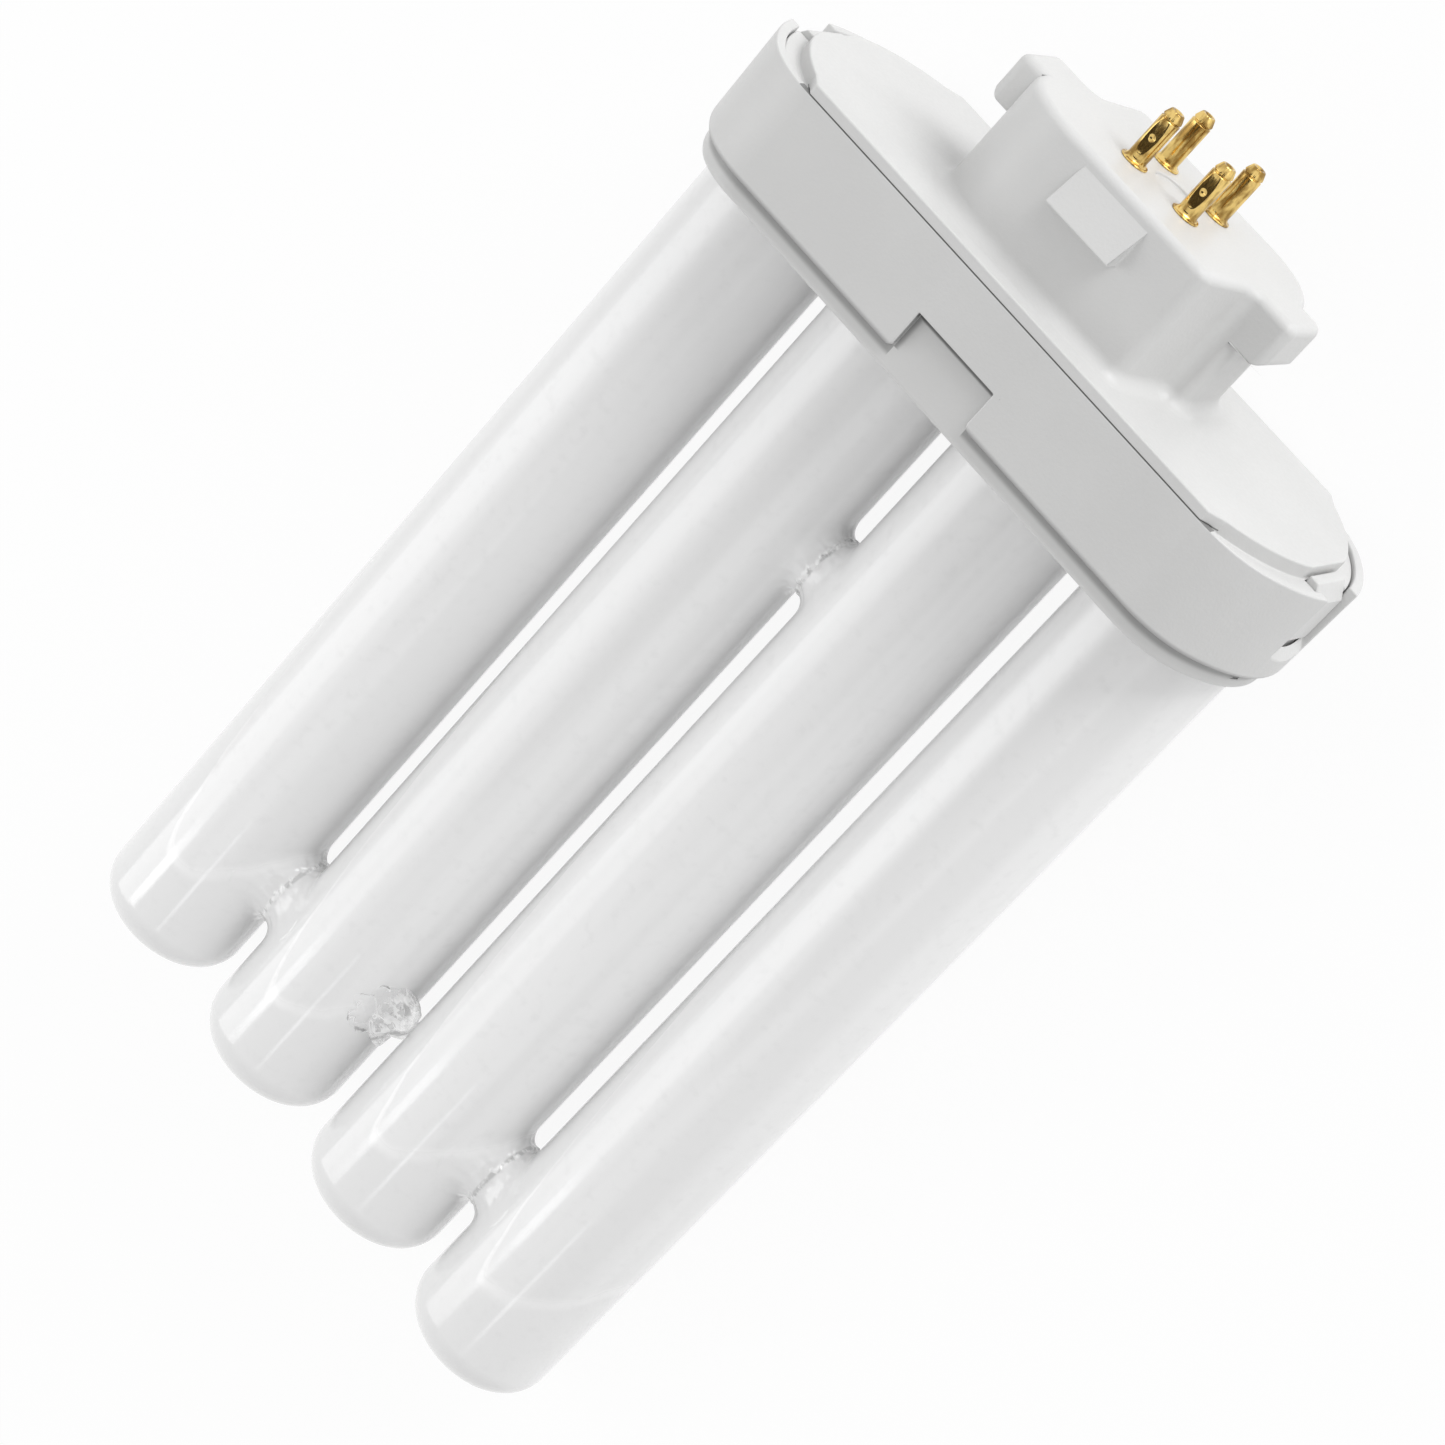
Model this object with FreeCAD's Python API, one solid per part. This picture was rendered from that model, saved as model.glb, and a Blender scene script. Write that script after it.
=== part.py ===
import FreeCAD, Part
import math
import os

from FreeCAD import Vector

# Four pin compact fluorescent lamp: four parallel glass tubes in one row, fused by three necks,
# held in a two part plastic cap with a cover that carries the pin block.
# Sizes are in millimetres. X runs along the row of tubes, Y along the lamp toward the pins and
# Z toward the broad front. The origin is the middle of the four pins on the face they stand on.

# contact pins
pin_spacing_x = 8.0
pin_spacing_z = 8.8
pin_radius = 1.22
pin_length = 7.0
pin_bore_radius = 0.62
pin_bore_depth = 1.3
pin_tip_dent = 0.35
pin_shank_radius = 1.0
pin_flange_radius = 1.75
pin_flange_height = 0.27
pin_flare_height = 0.45
pin_tip_radius = 0.88
pin_tip_height = 1.15
pin_tip_edge = 0.1
pin_groove_depth = 0.14
pin_groove_width = 0.3
pin_tail = 1.6
pin_tail_radius = 1.75
pin_tail_lip = 0.4
pin_dimple_radius = 0.5
pin_dimple_depth = 0.2
pin_dimple_height = 3.3
pin_hole_clearance = 0.1

# heights of the cap, measured down from the pin face
block_height = 15.2
plateau_height = 1.35
skirt_height = 12.4
band_height = 2.4

# outline of the cap seen from the pins
cap_half_depth = 18.4
cap_corner_radius = 10.0
cap_end_radius = 24.0
skirt_draft = 0.3
skirt_wall = 1.25
skirt_lower_rounding = 0.8
fit_clearance = 0.15

# notch in the middle of each broad side of the skirt
notch_half_width = 5.9
notch_depth = 5.15
notch_rounding = 1.0

# slot in each end of the skirt and the latch that stands in it
slot_half_width = 4.4
slot_depth = 7.4
slot_ramp = 2.2
latch_half_width = 4.2
latch_gap = 0.3
latch_bevel = 1.3
latch_bevel_drop = 1.9
latch_recess = 1.25
latch_rise = 0.35
latch_shoulder = 0.8
latch_stem_gap = 0.3
latch_seat_gap = 0.1

# ledge inside the skirt that carries the cover
ledge_width = 1.1
ledge_height = 1.2

# cover plate
cover_thickness = 2.0
recess_depth = 0.4
plateau_corner_inset = 0.1
plateau_step_reach = 1.5
plateau_end_inset = 3.4
plateau_flat_inset = 4.04

# pin block on the cover
block_inset = 4.75
block_corner_radius = 9.0
block_corner_centre = 8.5
block_edge_x = 12.9
block_edge_rounding = 1.7
block_waist_x = 14.6
block_inner_rounding = 1.8
block_top_rounding = 1.1
block_foot_rounding = 1.7
block_wall = 1.8
block_top_wall = 2.0
lug_end_x = 20.8
lug_front_z = 3.4
lug_back_z = -5.6
lug_height = 6.0
lug_rounding = 1.3
lug_lower_rounding = 1.6
face_mark_radius = 2.6
face_mark_depth = 0.4

# wedge on each broad side of the pin block
wedge_half_width = 4.85
wedge_top = 1.6
wedge_bottom = 6.65
wedge_lift = 1.9

# glass tubes
tube_radius = 9.3
tube_gap = 2.4
tube_end_gap = 0.55
lamp_length = 155.2
tube_end_step = 1.2
tube_end_rounding = 4.6
tube_end_swell = 0.55
tube_inner_gap = 3.6
tube_inner_rounding = 3.5
stem_half_width = 3.2
stem_half_thickness = 1.3
stem_height = 1.4

# necks between the tubes
outer_neck_radius = 4.9
middle_neck_radius = 4.3
neck_flare = 1.15
neck_flare_reach = 0.2
neck_sink = 2.2
neck_end_distance = 18.8
neck_cap_distance = 40.8

# holder and the cement in it
holder_floor = 2.2
holder_wall = 0.95
holder_seat_gap = 0.1
latch_root_rise = 3.6
holder_lower_rounding = 0.6
tube_hole_clearance = 0.15
cement_rise = 2.9
cement_clearance = 0.1

# clear glue between the two middle tubes
glue_radius = 4.7
glue_offset_z = 4.4
glue_end_distance = 21.2
glue_bed = 0.1

# lead wires
wire_radius = 0.25
wire_offset_x = 1.5
wire_offset_z = 0.6
wire_run_gap = 0.75
wire_turn_x = 11.0
wire_turn_z = 2.6
wire_straight_length = 5.0
wire_bend_radius = 3.0
wire_stem_bend_radius = 0.6
wire_end_gap = 0.2

# derived levels along the lamp
plateau_y = -block_height
rim_y = plateau_y - plateau_height
recess_y = rim_y - recess_depth
cover_low_y = recess_y - cover_thickness
skirt_low_y = rim_y - skirt_height
band_low_y = skirt_low_y - band_height
floor_top_y = band_low_y + holder_floor
holder_top_y = cover_low_y - ledge_height - holder_seat_gap
latch_root_y = floor_top_y + latch_root_rise
cement_top_y = floor_top_y + cement_rise
slot_low_y = rim_y - slot_depth
notch_top_y = skirt_low_y + notch_depth
tube_near_y = cover_low_y - tube_inner_gap
middle_neck_y = rim_y - neck_cap_distance
glue_y = glue_end_distance - lamp_length
stem_top_y = tube_near_y + stem_height
tube_pitch = 2 * tube_radius + tube_gap
tube_xs = [(i - 1.5) * tube_pitch for i in range(4)]
tube_far_ys = [-lamp_length - (i - 1.5) * tube_end_step for i in range(4)]
outer_neck_ys = [(tube_far_ys[i] + tube_far_ys[i + 1]) / 2 + neck_end_distance for i in (0, 2)]

# how far one form runs into another that it is fused with, how far a cutter runs past the
# face that it cuts, a length that passes right through the cap, and the least rounding
overlap = 0.5
overrun = 1.0
across = 200.0
least_rounding = 0.2

# derived places along the row of tubes
cap_end_x = tube_xs[3] + tube_radius + tube_end_gap + holder_wall + fit_clearance + skirt_wall
cap_end_centre_x = cap_end_x - cap_end_radius
cap_straight_half = cap_end_centre_x + math.sqrt(
    (cap_end_radius - cap_corner_radius) ** 2
    - (cap_half_depth - cap_corner_radius) ** 2
)
plateau_straight_half = cap_straight_half - plateau_corner_inset
plateau_step_x = cap_straight_half + plateau_step_reach
plateau_flat_x = cap_end_x - plateau_flat_inset
latch_inner_x = plateau_flat_x + latch_gap
block_half_depth = cap_half_depth - block_inset


def put(x, y, z):
    """Point of the lamp's frame."""
    return Vector(x, y, z)


def arc(a, b, c):
    """Arc from a to c through b."""
    return Part.Arc(a, b, c).toShape()


def line(a, b):
    """Straight edge from a to b."""
    return Part.makeLine(a, b)


def box(x0, x1, y0, y1, z0, z1):
    """Box between the given limits."""
    return Part.makeBox(x1 - x0, y1 - y0, z1 - z0, put(x0, y0, z0))


def half_turn(shape):
    """The same shape on the other side of the lamp's axis."""
    turned = shape.copy()
    turned.rotate(put(0, 0, 0), put(0, 1, 0), 180)
    return turned


def cap_wire(inset, y):
    """Outline of the cap, moved inward by inset, at height y."""
    z = cap_half_depth - inset
    corner = cap_corner_radius - inset
    end = cap_end_radius - inset
    xs = cap_straight_half
    xe = cap_end_centre_x
    zc = cap_half_depth - cap_corner_radius
    lean = math.atan2(zc, xs - xe)
    mid = (lean + math.pi / 2) / 2
    edges = []
    for turn in (0, 180):
        k = 1 if turn == 0 else -1
        joint = put(k * (xe + end * math.cos(lean)), y, k * end * math.sin(lean))
        other = put(k * (xe + end * math.cos(lean)), y, -k * end * math.sin(lean))
        start = put(k * xs, y, k * z)
        through = put(k * (xs + corner * math.cos(mid)), y, k * (zc + corner * math.sin(mid)))
        back_through = put(k * (xs + corner * math.cos(mid)), y, -k * (zc + corner * math.sin(mid)))
        back = put(k * xs, y, -k * z)
        edges.append(arc(start, through, joint))
        edges.append(arc(joint, put(k * (xe + end), y, 0), other))
        edges.append(arc(other, back_through, back))
        edges.append(line(back, put(-k * xs, y, -k * z)))
    return Part.Wire(edges)


def cap_block(inset, y0, y1):
    """Solid with the cap's outline between two heights."""
    return Part.Face(cap_wire(inset, y0)).extrude(put(0, y1 - y0, 0))


def plateau_block(y0, y1):
    """Raised part of the cover between two heights."""
    r = cap_end_radius - plateau_end_inset
    xe = cap_end_centre_x
    z = cap_half_depth
    step_z = math.sqrt(r ** 2 - (plateau_step_x - xe) ** 2)
    flat_z = math.sqrt(r ** 2 - (plateau_flat_x - xe) ** 2)
    mid = (math.atan2(step_z, plateau_step_x - xe) + math.atan2(flat_z, plateau_flat_x - xe)) / 2
    mx = xe + r * math.cos(mid)
    mz = r * math.sin(mid)
    edges = []
    for k in (1, -1):
        corner = put(k * plateau_straight_half, y0, k * z)
        step = put(k * plateau_step_x, y0, k * step_z)
        flat = put(k * plateau_flat_x, y0, k * flat_z)
        far_flat = put(k * plateau_flat_x, y0, -k * flat_z)
        far_step = put(k * plateau_step_x, y0, -k * step_z)
        far_corner = put(k * plateau_straight_half, y0, -k * z)
        edges.append(line(corner, step))
        edges.append(arc(step, put(k * mx, y0, k * mz), flat))
        edges.append(line(flat, far_flat))
        edges.append(arc(far_flat, put(k * mx, y0, -k * mz), far_step))
        edges.append(line(far_step, far_corner))
        edges.append(line(far_corner, put(-k * plateau_straight_half, y0, -k * z)))
    return Part.Face(Part.Wire(edges)).extrude(put(0, y1 - y0, 0))


def rounded_polygon(points, y):
    """Closed wire through (x, z, rounding) points in order, each corner rounded by its radius."""
    n = len(points)
    edges = []
    ends = []
    for i in range(n):
        ax, az, _ = points[i - 1]
        bx, bz, r = points[i]
        cx, cz, _ = points[(i + 1) % n]
        p = put(bx, y, bz)
        if r == 0:
            ends.append((p, p, p))
            continue
        u = (put(ax, y, az) - p).normalize()
        v = (put(cx, y, cz) - p).normalize()
        half = u.getAngle(v) / 2
        reach = r / math.tan(half)
        middle = (u + v).normalize()
        centre = p + middle * (r / math.sin(half))
        ends.append((p + u * reach, centre - middle * r, p + v * reach))
    for i in range(n):
        a, m, b = ends[i]
        if a.distanceToPoint(b) > 1e-6:
            edges.append(arc(a, m, b))
        nxt = ends[(i + 1) % n][0]
        if b.distanceToPoint(nxt) > 1e-6:
            edges.append(line(b, nxt))
    return Part.Wire(edges)


def block_wire(inset, y):
    """Outline of the pin block's column, moved inward by inset."""
    z = block_half_depth - inset
    side = block_corner_centre + block_corner_radius - inset
    front = lug_front_z - inset
    half = [
        (block_edge_x - inset, z, max(block_edge_rounding - inset, least_rounding)),
        (block_waist_x - inset, front, block_inner_rounding + inset),
        (side, front, max(lug_rounding - inset, least_rounding)),
        (side, -z, block_corner_radius - inset),
    ]
    other = [(-x, -z, r) for x, z, r in half]
    return rounded_polygon(half + other, y)


def block_solid(inset, y0, y1):
    """Column of the pin block between two heights."""
    return Part.Face(block_wire(inset, y0)).extrude(put(0, y1 - y0, 0))


def lug(y0, y1):
    """Lug on one side of the pin block between two heights."""
    inner = block_waist_x
    wire = rounded_polygon([
        (inner, lug_front_z, 0),
        (lug_end_x, lug_front_z, lug_rounding),
        (lug_end_x, lug_back_z, lug_rounding),
        (inner, lug_back_z, 0),
    ], y0)
    return Part.Face(wire).extrude(put(0, y1 - y0, 0))


def edges_at(shape, y, tolerance=1e-4):
    """Edges that lie wholly at height y."""
    found = []
    for edge in shape.Edges:
        bounds = edge.BoundBox
        if abs(bounds.YMin - y) < tolerance and abs(bounds.YMax - y) < tolerance:
            found.append(edge)
    return found


def wedge():
    """Ramp on the front of the pin block, deepest at its lower end."""
    z = block_half_depth
    profile = Part.makePolygon([
        put(-wedge_half_width, -wedge_top, z - overlap),
        put(-wedge_half_width, -wedge_top, z),
        put(-wedge_half_width, -wedge_bottom, z + wedge_lift),
        put(-wedge_half_width, -wedge_bottom, z - overlap),
        put(-wedge_half_width, -wedge_top, z - overlap),
    ])
    return Part.Face(profile).extrude(put(2 * wedge_half_width, 0, 0))


def pin_places():
    """Middle of each pin on the pin face, by name."""
    x = pin_spacing_x / 2
    z = pin_spacing_z / 2
    return {
        "left_front": (-x, z),
        "left_back": (-x, -z),
        "right_front": (x, z),
        "right_back": (x, -z),
    }


def make_cover():
    """Cover plate with the raised plateau and the hollow pin block, one moulding."""
    plate = cap_block(skirt_wall + fit_clearance, cover_low_y, recess_y)
    for k in (1, -1):
        limit = sorted((k * (latch_inner_x - fit_clearance), k * across))
        half = latch_half_width + fit_clearance
        plate = plate.cut(
            box(limit[0], limit[1], cover_low_y - overrun, recess_y + overrun, -half, half)
        )
    middle = plateau_block(recess_y, rim_y).common(
        cap_block(skirt_wall + fit_clearance, recess_y - overrun, rim_y + overrun)
    )
    plateau = plateau_block(rim_y, plateau_y)
    column = block_solid(0, plateau_y - overlap, -lug_height)
    base = plateau.fuse(column).removeSplitter()
    base = base.makeFillet(block_foot_rounding, foot_edges(base))
    lugs = lug(-lug_height, 0).fuse(half_turn(lug(-lug_height, 0))).common(lug_shaper())
    head = block_solid(0, -lug_height - overlap, 0).fuse(lugs).removeSplitter()
    block = head.makeFillet(block_top_rounding, edges_at(head, 0))
    solid = base.fuse([plate, middle, block, wedge(), half_turn(wedge())]).removeSplitter()
    hollow = block_solid(block_wall, cover_low_y - overrun, -block_top_wall)
    solid = solid.cut(hollow)
    for x, z in pin_places().values():
        hole = Part.makeCylinder(
            pin_shank_radius + pin_hole_clearance,
            across,
            put(x, -block_top_wall - overrun, z),
            put(0, 1, 0),
        )
        solid = solid.cut(hole)
    mark = Part.makeCylinder(face_mark_radius, across, put(0, -face_mark_depth, 0), put(0, 1, 0))
    return solid.cut(mark)


def foot_edges(base):
    """Edges round the foot of the pin block on the plateau."""
    reach_x = lug_end_x
    reach_z = block_half_depth + overlap
    found = []
    for edge in edges_at(base, plateau_y):
        bounds = edge.BoundBox
        inside_x = bounds.XMax < reach_x and bounds.XMin > -reach_x
        inside_z = bounds.ZMax < reach_z and bounds.ZMin > -reach_z
        if inside_x and inside_z:
            found.append(edge)
    return found


def lug_shaper():
    """Bar with rounded lower corners that shapes the outer ends of the two lugs."""
    x = lug_end_x
    low = -lug_height
    top = overrun
    r = lug_lower_rounding
    k = r * (1 - math.sqrt(0.5))
    z = -across / 2
    edges = [
        line(put(-x, top, z), put(-x, low + r, z)),
        arc(put(-x, low + r, z), put(-x + k, low + k, z), put(-x + r, low, z)),
        line(put(-x + r, low, z), put(x - r, low, z)),
        arc(put(x - r, low, z), put(x - k, low + k, z), put(x, low + r, z)),
        line(put(x, low + r, z), put(x, top, z)),
        line(put(x, top, z), put(-x, top, z)),
    ]
    return Part.Face(Part.Wire(edges)).extrude(put(0, 0, across))


def make_skirt():
    """Outer ring of the cap with its notches, end slots and inner ledge."""
    outer = Part.makeLoft([cap_wire(skirt_draft, skirt_low_y), cap_wire(0, rim_y)], True, True)
    outer = outer.makeFillet(skirt_lower_rounding, edges_at(outer, skirt_low_y))
    ring = outer.cut(cap_block(skirt_wall, skirt_low_y - overrun, rim_y + overrun))
    ledge = cap_block(skirt_wall - overlap, cover_low_y - ledge_height, cover_low_y).cut(
        cap_block(skirt_wall + ledge_width, cover_low_y - across, cover_low_y + across)
    )
    ring = ring.fuse(ledge).removeSplitter()
    ring = ring.cut(notch_cutter())
    for k in (1, -1):
        ring = ring.cut(slot_cutter(k))
    return ring


def notch_cutter():
    """Bar that cuts the notch out of both broad sides of the skirt."""
    low = skirt_low_y - overrun
    start = skirt_low_y
    w = notch_half_width
    r = notch_rounding
    k = r * (1 - math.sqrt(0.5))
    z = -across / 2
    edges = [
        line(put(-w - r, low, z), put(-w - r, start, z)),
        arc(put(-w - r, start, z), put(-w - k, start + k, z), put(-w, start + r, z)),
        line(put(-w, start + r, z), put(-w, notch_top_y, z)),
        line(put(-w, notch_top_y, z), put(w, notch_top_y, z)),
        line(put(w, notch_top_y, z), put(w, start + r, z)),
        arc(put(w, start + r, z), put(w + k, start + k, z), put(w + r, start, z)),
        line(put(w + r, start, z), put(w + r, low, z)),
        line(put(w + r, low, z), put(-w - r, low, z)),
    ]
    return Part.Face(Part.Wire(edges)).extrude(put(0, 0, across))


def slot_cutter(k):
    """Opening in one end of the skirt, with a ramp below it."""
    end = cap_end_x
    inner = end - skirt_wall - overlap
    outer = end + overrun
    w = slot_half_width
    limit = sorted((k * (latch_inner_x - overrun), k * outer))
    opening = box(limit[0], limit[1], slot_low_y, rim_y + overrun, -w, w)
    drop = slot_ramp * (outer - inner) / (end - inner)
    profile = Part.makePolygon([
        put(k * inner, slot_low_y + overlap, -w),
        put(k * inner, slot_low_y, -w),
        put(k * outer, slot_low_y - drop, -w),
        put(k * outer, slot_low_y + overlap, -w),
        put(k * inner, slot_low_y + overlap, -w),
    ])
    return opening.fuse(Part.Face(profile).extrude(put(0, 0, 2 * w)))


def make_holder():
    """Lower part of the cap: a tray with four holes in its floor and a latch at each end.

    Its wall shows below the skirt and in the notches, and carries the ledge inside the skirt.
    """
    inset = skirt_wall + fit_clearance
    solid = cap_block(inset, band_low_y, holder_top_y)
    solid = solid.makeFillet(holder_lower_rounding, edges_at(solid, band_low_y))
    solid = solid.cut(cap_block(inset + holder_wall, floor_top_y, across))
    w = slot_half_width
    solid = solid.cut(box(-across, across, latch_root_y, across, -w, w))
    for x in tube_xs:
        hole = Part.makeCylinder(
            tube_radius + tube_hole_clearance, across, put(x, band_low_y - across / 2, 0), put(0, 1, 0)
        )
        solid = solid.cut(hole)
    for k in (1, -1):
        solid = solid.fuse(latch(k))
    return solid.removeSplitter()


def latch(k):
    """Upright tab with a bevelled head that stands in the end slot of the skirt."""
    end = cap_end_x
    face = end - latch_recess
    inner = latch_inner_x
    stem = end - skirt_wall - fit_clearance - latch_stem_gap
    top = rim_y + latch_rise
    shoulder = slot_low_y + latch_seat_gap
    back = end - skirt_wall - fit_clearance - holder_wall
    bend = tube_near_y + latch_shoulder
    low = floor_top_y - overlap
    profile = Part.makePolygon([
        put(k * back, low, -latch_half_width),
        put(k * back, bend, -latch_half_width),
        put(k * inner, bend + latch_shoulder, -latch_half_width),
        put(k * inner, top, -latch_half_width),
        put(k * (face - latch_bevel), top, -latch_half_width),
        put(k * face, top - latch_bevel_drop, -latch_half_width),
        put(k * face, shoulder, -latch_half_width),
        put(k * stem, shoulder, -latch_half_width),
        put(k * stem, low, -latch_half_width),
        put(k * back, low, -latch_half_width),
    ])
    return Part.Face(profile).extrude(put(0, 0, 2 * latch_half_width))


def make_cement():
    """Cement poured round the tubes on the floor of the holder."""
    inset = skirt_wall + fit_clearance + holder_wall + cement_clearance
    cement = cap_block(inset, floor_top_y, cement_top_y)
    for x in tube_xs:
        room = Part.makeCylinder(
            tube_radius + cement_clearance, across, put(x, -across, 0), put(0, 1, 0)
        )
        cement = cement.cut(room)
    return cement


def tube(x, far):
    """One closed glass tube, turned about its own axis, that reaches to the height far."""
    r = tube_radius
    near = tube_near_y
    e = tube_end_rounding
    n = tube_inner_rounding
    k = 1 - math.sqrt(0.5)
    swell = tube_end_swell
    flat = r - e
    edges = [
        arc(put(0, far, 0), put(flat / 2, far + swell / 4, 0), put(flat, far + swell, 0)),
        arc(
            put(flat, far + swell, 0),
            put(r - e * k, far + swell + e * k, 0),
            put(r, far + swell + e, 0),
        ),
        line(put(r, far + swell + e, 0), put(r, near - n, 0)),
        arc(put(r, near - n, 0), put(r - n * k, near - n * k, 0), put(r - n, near, 0)),
        line(put(r - n, near, 0), put(0, near, 0)),
        line(put(0, near, 0), put(0, far, 0)),
    ]
    solid = Part.Face(Part.Wire(edges)).revolve(put(0, 0, 0), put(0, 1, 0), 360)
    solid.translate(put(x, 0, 0))
    return solid


def neck(x, y, r):
    """Fused neck between two tubes, waisted in the middle to the radius r."""
    half = tube_pitch / 2 - tube_radius
    reach = half + neck_sink
    flare = half + neck_flare_reach
    wide = r + neck_flare
    edges = [
        line(put(-reach, y, 0), put(-reach, y + wide, 0)),
        line(put(-reach, y + wide, 0), put(-flare, y + wide, 0)),
        arc(put(-flare, y + wide, 0), put(0, y + r, 0), put(flare, y + wide, 0)),
        line(put(flare, y + wide, 0), put(reach, y + wide, 0)),
        line(put(reach, y + wide, 0), put(reach, y, 0)),
        line(put(reach, y, 0), put(-reach, y, 0)),
    ]
    solid = Part.Face(Part.Wire(edges)).revolve(put(0, y, 0), put(1, 0, 0), 360)
    solid.translate(put(x, 0, 0))
    return solid


def stem(x):
    """Pressed glass seal on the inner end of an outer tube, where the lead wires come out."""
    return box(
        x - stem_half_width, x + stem_half_width, tube_near_y - overlap, stem_top_y,
        -stem_half_thickness, stem_half_thickness,
    )


def make_glass():
    """The four tubes, their necks and stems, fused into one sealed envelope."""
    parts = [tube(x, far) for x, far in zip(tube_xs, tube_far_ys)]
    parts.append(neck(-tube_pitch, outer_neck_ys[0], outer_neck_radius))
    parts.append(neck(tube_pitch, outer_neck_ys[1], outer_neck_radius))
    parts.append(neck(0, middle_neck_y, middle_neck_radius))
    parts.append(stem(tube_xs[0]))
    parts.append(stem(tube_xs[3]))
    return parts[0].fuse(parts[1:]).removeSplitter()


def make_glue():
    """Drop of clear glue in the gap between the two middle tubes."""
    drop = Part.makeSphere(glue_radius, put(0, glue_y, glue_offset_z))
    for x in tube_xs[1:3]:
        tube_room = Part.makeCylinder(
            tube_radius + glue_bed, across, put(x, glue_y - across / 2, 0), put(0, 1, 0)
        )
        drop = drop.cut(tube_room)
    return drop


def make_pin(x, z):
    """Contact pin with a flange, a dented tip, a dimple on its outer side and a wire bore below.

    The shank in the block's wall is thinner than the pin, so the pin begins above its flange.
    """
    r = pin_radius
    bore = pin_bore_radius
    tip = pin_length - pin_tip_height
    g = pin_groove_depth
    w = pin_groove_width
    low = -block_top_wall
    outline = [
        (0, low - pin_tail + pin_bore_depth),
        (bore, low - pin_tail + pin_bore_depth),
        (bore, low - pin_tail),
        (pin_tail_radius, low - pin_tail_lip),
        (pin_tail_radius, low),
        (pin_shank_radius, low),
        (pin_shank_radius, 0),
        (pin_flange_radius, 0),
        (pin_flange_radius, pin_flange_height),
        (r, pin_flare_height),
        (r, tip - w),
        (r - g, tip - w / 2),
        (r, tip),
        (pin_tip_radius, pin_length - pin_tip_edge),
        (pin_tip_radius - pin_tip_edge, pin_length),
        (bore, pin_length),
        (bore * 0.5, pin_length - pin_tip_dent),
        (0, pin_length - pin_tip_dent),
        (0, low - pin_tail + pin_bore_depth),
    ]
    points = [put(a, b, 0) for a, b in outline]
    body = Part.Face(Part.makePolygon(points)).revolve(put(0, 0, 0), put(0, 1, 0), 360)
    side = 1 if z > 0 else -1
    ball = pin_dimple_radius
    centre = put(0, pin_dimple_height, side * (r + ball - pin_dimple_depth))
    body = body.cut(Part.makeSphere(ball, centre))
    body.translate(put(x, 0, z))
    return body


def bent_path(points, radii):
    """Straight runs through the points, joined by tangent arcs of the given radii."""
    edges = []
    start = points[0]
    for i, radius in enumerate(radii, 1):
        corner = points[i]
        back = (points[i - 1] - corner).normalize()
        ahead = (points[i + 1] - corner).normalize()
        half = back.getAngle(ahead) / 2
        reach = radius / math.tan(half)
        inward = (back + ahead).normalize()
        middle = corner + inward * (radius / math.sin(half) - radius)
        edges.append(line(start, corner + back * reach))
        edges.append(arc(corner + back * reach, middle, corner + ahead * reach))
        start = corner + ahead * reach
    edges.append(line(start, points[-1]))
    return Part.Wire(edges)


def make_wire(x, z):
    """Lead wire from the stem of the outer tube to the bore of one pin."""
    side = 1 if x > 0 else -1
    lead = 1 if z > 0 else -1
    run_y = cover_low_y - wire_run_gap
    start_x = side * (tube_xs[3] - lead * wire_offset_x)
    points = [
        put(start_x, stem_top_y, lead * wire_offset_z),
        put(start_x, run_y, lead * wire_offset_z),
        put(side * wire_turn_x, run_y, lead * wire_turn_z),
        put(x, -block_top_wall - pin_tail - wire_straight_length, z),
        put(x, -block_top_wall - pin_tail + pin_bore_depth - wire_end_gap, z),
    ]
    path = bent_path(points, [wire_stem_bend_radius, wire_bend_radius, wire_bend_radius])
    ring = Part.Wire([Part.makeCircle(wire_radius, points[0], put(0, 1, 0))])
    return path.makePipeShell([ring], True, False)


def main():
    os.makedirs("parts", exist_ok=True)
    nodes = {
        "glass_tubes": make_glass(),
        "glue_drop": make_glue(),
        "tube_holder": make_holder(),
        "tube_cement": make_cement(),
        "skirt": make_skirt(),
        "pin_cover": make_cover(),
    }
    for name, (x, z) in pin_places().items():
        nodes["contact_pin_" + name] = make_pin(x, z)
        nodes["lead_wire_" + name] = make_wire(x, z)
    for name, shape in nodes.items():
        if shape.ShapeType == "Compound" and len(shape.Solids) == 1:
            shape = shape.Solids[0]
        if len(shape.Solids) != 1 or not shape.isValid():
            raise ValueError(name + " is not one sound solid")
        shape.exportStep("parts/" + name + ".step")
        b = shape.BoundBox
        print(name, round(shape.Volume / 1000, 3), "cm3", [round(v, 2) for v in (
            b.XMin, b.XMax, b.YMin, b.YMax, b.ZMin, b.ZMax)])


main()
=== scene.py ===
import math

import bmesh
import bpy
from bpy.props import FloatProperty, FloatVectorProperty, IntProperty, PointerProperty
from mathutils import Matrix, Vector, noise


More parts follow.
